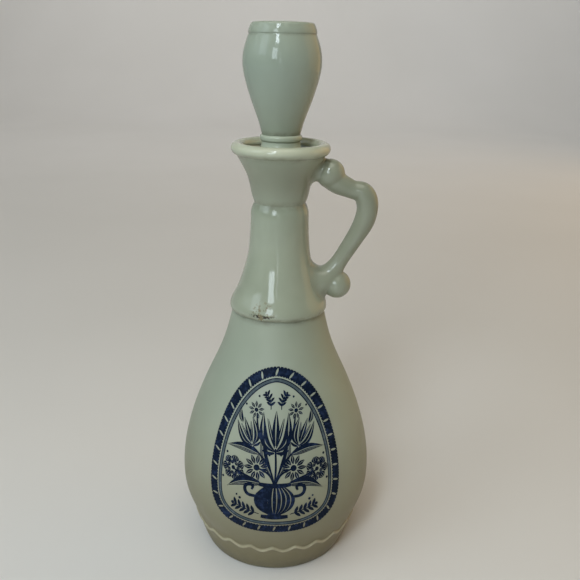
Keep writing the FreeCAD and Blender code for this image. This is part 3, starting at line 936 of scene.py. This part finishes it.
def makeBorderTree():  # strokes along a line, some with a slit
    inputs = (("Count", "Int"), ("Slit every", "Int"), ("Layer", "Float"), ("Stroke", "Object"),
              ("Slit stroke", "Object"), ("Material", "Material"))
    tree, names, graph, given = newTree("strokesAlong", inputs)
    curve = graph.add("GeometryNodeMeshToCurve", {}, {"Mesh": given.other("Geometry")})
    points = graph.add("GeometryNodeCurveToPoints", {"mode": "COUNT"},
                       {"Curve": curve, "Count": given.other("Count")})
    aim = graph.add("FunctionNodeAlignRotationToVector", {"axis": "X", "pivot_axis": "Z"},
                    {"Vector": points.other("Tangent")})
    index = graph.add("GeometryNodeInputIndex")
    lift = graph.add("ShaderNodeCombineXYZ", {}, {2: index % 2 * given.other("Layer")})
    spread = graph.add("GeometryNodeSetPosition", {}, {"Geometry": points, "Offset": lift})
    beat = index % given.other("Slit every")
    whole = beat.math("GREATER_THAN", beat, 0.5)
    rows = []
    for label, chosen in (("Stroke", whole), ("Slit stroke", 1 - whole)):
        shape = graph.add("GeometryNodeObjectInfo", {}, {"Object": given.other(label)}, "Geometry")
        values = {"Points": spread, "Selection": chosen, "Instance": shape, "Rotation": aim}
        rows.append(graph.add("GeometryNodeInstanceOnPoints", {}, values))
    endTree(graph, graph.add("GeometryNodeJoinGeometry", {}, {0: rows}), given)
    return tree, names


def borderStrokes():  # a whole stroke, and one with a slit that shows the glass
    look = printLook
    girth = np.array(look["strokeGirth"]) * look["strokeWidth"] / 2
    slit = np.minimum(np.array(look["slitGirth"]) * look["slit"] / 2, girth * look["slitMost"])
    up = np.linspace(-look["band"] / 2, look["band"] / 2, len(girth))
    lean = up * look["slant"]

    def strip(low, high):
        return np.stack((np.stack((lean + low, up), 1), np.stack((lean + high, up), 1)), 1)
    for patches in ([strip(-girth, girth)], [strip(-girth, -slit), strip(slit, girth)]):
        yield newHolder("stroke", patchMesh(patches))


def makePrint():
    look = printLook
    navy = printedInk("navyInk", *look["navy"])
    slate = printedInk("slateInk", *look["slate"])
    stroke, slitStroke = borderStrokes()
    path = np.concatenate((eggLine(look["band"] / 2), np.zeros((look["pathSteps"], 1))), 1)
    values = {"Count": look["strokes"], "Slit every": look["slitEvery"], "Layer": look["layer"],
              "Stroke": stroke, "Slit stroke": slitStroke, "Material": navy}
    strokes = runTree(makeBorderTree(), lineMesh(path, True), values)
    for used in (stroke, slitStroke):
        bpy.data.meshes.remove(used.data)
    wrapped("medallion_band", strokes, navy)

    def ring(first, second):
        loop = np.stack((eggLine(first), eggLine(second)), 1)
        return np.concatenate((loop, loop[:1]))
    outer, inner, edge = look["lineOuter"], look["lineInner"], look["lineEdge"]
    wrapped("medallion_line", patchMesh([ring(outer + edge, inner - edge)]), slate)
    wrapped("medallion_edges", patchMesh([ring(outer, outer + edge), ring(inner - edge, inner)]), navy)
    wrapped("flower_spray", patchMesh(flowerVase()), navy)


makePrint()

# Floor, light and camera
stageLook = {
    "floor": colour(226, 224, 220), "shade": colour(218, 216, 211), "clouds": (3.0, 2.0),
    "roughness": 0.6, "depth": 3.0, "bend": 0.8, "bendSteps": 14, "width": 7.0, "height": 3.2,
    "near": -3.5}
cameraLook = {
    "place": (6.85, -395.59, 307.38), "pitch": 19.507, "roll": 1.26, "focal": 700.0,
    "image": 580.0, "sensor": 36.0, "near": 0.01}
lightAim = (0, 0, 0.17)
lightLook = {  # turn, rise, distance, width, height, power, tint and, for one, its aim
    "windowHigh": (-17, 47, 1.5, 0.22, 0.42, 5.2, (0.82, 0.92, 1.0)),
    "window": (-21, 22, 1.5, 0.42, 0.58, 5.4, (0.82, 0.92, 1.0)),
    "windowEdge": (-4.5, 10, 1.5, 0.04, 0.76, 0.6, (0.86, 0.93, 1.0)),
    "leftPane": (-62, 30, 1.6, 0.60, 0.80, 2.6, (0.76, 0.89, 1.0)),
    "left": (-72, 36, 1.9, 1.8, 1.4, 6.0, (0.74, 0.88, 1.0)),
    "ceiling": (-20, 76, 1.6, 1.6, 1.3, 11.2, (1.0, 0.94, 0.82)),
    "right": (112, 16, 1.6, 1.8, 1.4, 7.0, (1.0, 0.66, 0.28)),
    "backdrop": (0, 25, 1.9, 4.0, 0.6, 34.0, (1.0, 1.0, 1.0), (0.0, 3.0, 1.2))}
worldLook = {"tint": (1.0, 0.97, 0.92, 1), "strength": 0.03, "backdrop": 0.42}


def makeStage():
    look = stageLook
    bend = look["bend"]
    sweep = [(look["near"], 0.0)]
    for turn in np.radians(np.linspace(-90, 0, look["bendSteps"])):
        sweep.append((look["depth"] - bend + bend * math.cos(turn), bend + bend * math.sin(turn)))
    sweep.append((look["depth"], look["height"]))
    half = look["width"] / 2
    spots = [(x, y, z) for y, z in sweep for x in (-half, half)]
    faces = [(2 * i, 2 * i + 1, 2 * i + 3, 2 * i + 2) for i in range(len(sweep) - 1)]
    mesh = bpy.data.meshes.new("floor")
    mesh.from_pydata(spots, [], faces)
    for face in mesh.polygons:
        face.use_smooth = True
    material, graph, shader, place = newMaterial("paleFloor", Roughness=look["roughness"])
    tint = graph.mix(graph.noise(place, *look["clouds"]), look["floor"], look["shade"])
    graph.feed(shader["Base Color"], tint)
    mesh.materials.append(material)
    newHolder("floor", mesh)


def softBox(name, turn, rise, distance, width, height, power, tint, aim=lightAim):
    light = bpy.data.lights.new(name, "AREA")
    light.shape = "RECTANGLE"
    light.size, light.size_y = width, height
    light.energy, light.color = power, tint
    turn, rise = math.radians(turn), math.radians(rise)
    toLamp = Vector((math.sin(turn) * math.cos(rise), -math.cos(turn) * math.cos(rise), math.sin(rise)))
    lamp = newHolder(name, light)
    lamp.location = Vector(aim) + toLamp * distance
    lamp.rotation_euler = toLamp.to_track_quat("Z", "Y").to_euler()


def makeLights():
    world = bpy.data.worlds.new("studio")
    world.use_nodes = True
    sky = world.node_tree.nodes["Background"].inputs
    sky["Color"].default_value = worldLook["tint"]
    graph = Graph(world.node_tree)
    seen = graph.add("ShaderNodeLightPath", out="Is Camera Ray")  # pale past the floor's end
    dim = worldLook["strength"]
    graph.feed(sky["Strength"], seen * (worldLook["backdrop"] - dim) + dim)
    bpy.context.scene.world = world
    for name, values in lightLook.items():
        softBox(name, *values)


def makeCamera():
    look = cameraLook
    camera = bpy.data.cameras.new("camera")
    camera.sensor_width = look["sensor"]
    camera.lens = look["focal"] / look["image"] * look["sensor"]
    camera.clip_start = look["near"]
    pitch, roll = math.radians(look["pitch"]), math.radians(look["roll"])
    ahead = Vector((0, math.cos(pitch), -math.sin(pitch)))
    level = Vector((0, math.sin(pitch), math.cos(pitch)))
    right = Vector((1, 0, 0)) * math.cos(roll) + level * math.sin(roll)
    view = Matrix((right, right.cross(ahead), -ahead)).transposed().to_4x4()
    view.translation = Vector(look["place"]) * mm
    eye = newHolder("camera", camera)
    eye.matrix_world = view
    bpy.context.scene.camera = eye


makeStage()
makeLights()
makeCamera()
bpy.context.scene.view_settings.view_transform = "Standard"
print("stage, lights and camera set")
